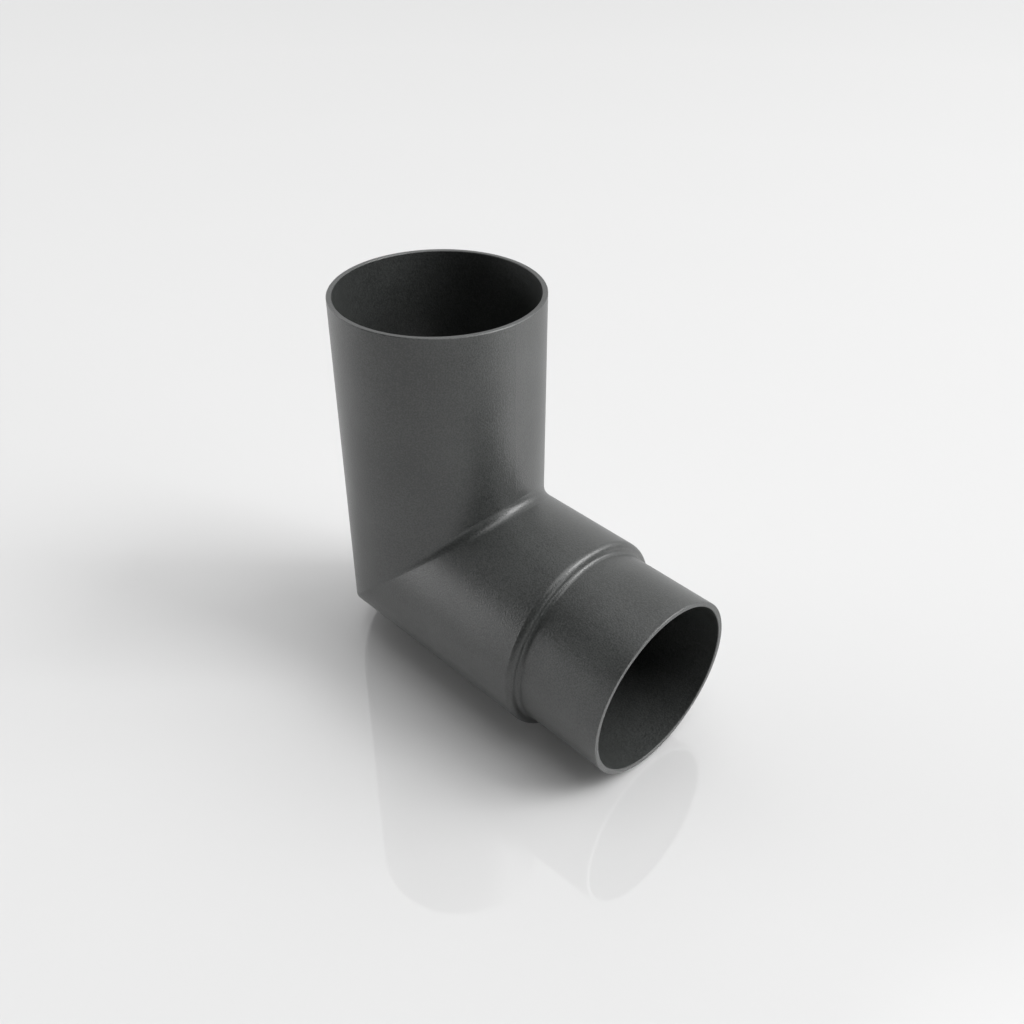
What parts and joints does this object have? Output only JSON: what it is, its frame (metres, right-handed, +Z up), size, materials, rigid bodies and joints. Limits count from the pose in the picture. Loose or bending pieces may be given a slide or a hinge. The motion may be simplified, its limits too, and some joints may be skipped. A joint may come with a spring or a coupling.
{
  "type": "downpipe bend",
  "caption": "Round downpipe bend for turning a rainwater pipe outwards: a rounded mitred elbow with a plain socket mouth at the inlet and a swaged spigot at the outlet, in powder-coated metal.",
  "frame": {"origin": "middle of the inlet's mouth, in the plane of its rim", "axes": "+Z straight up out of the inlet, along the upright pipe; +X the way the outlet leg leaves, which falls 2.5 degrees below level; +Y across the bend"},
  "size_m": [0.1992, 0.102, 0.2014],
  "materials": {
    "powder_coat": "satin"
  },
  "bodies": {
    "root": {"downpipe_bend": "powder_coat"}
  },
  "joints": []
}
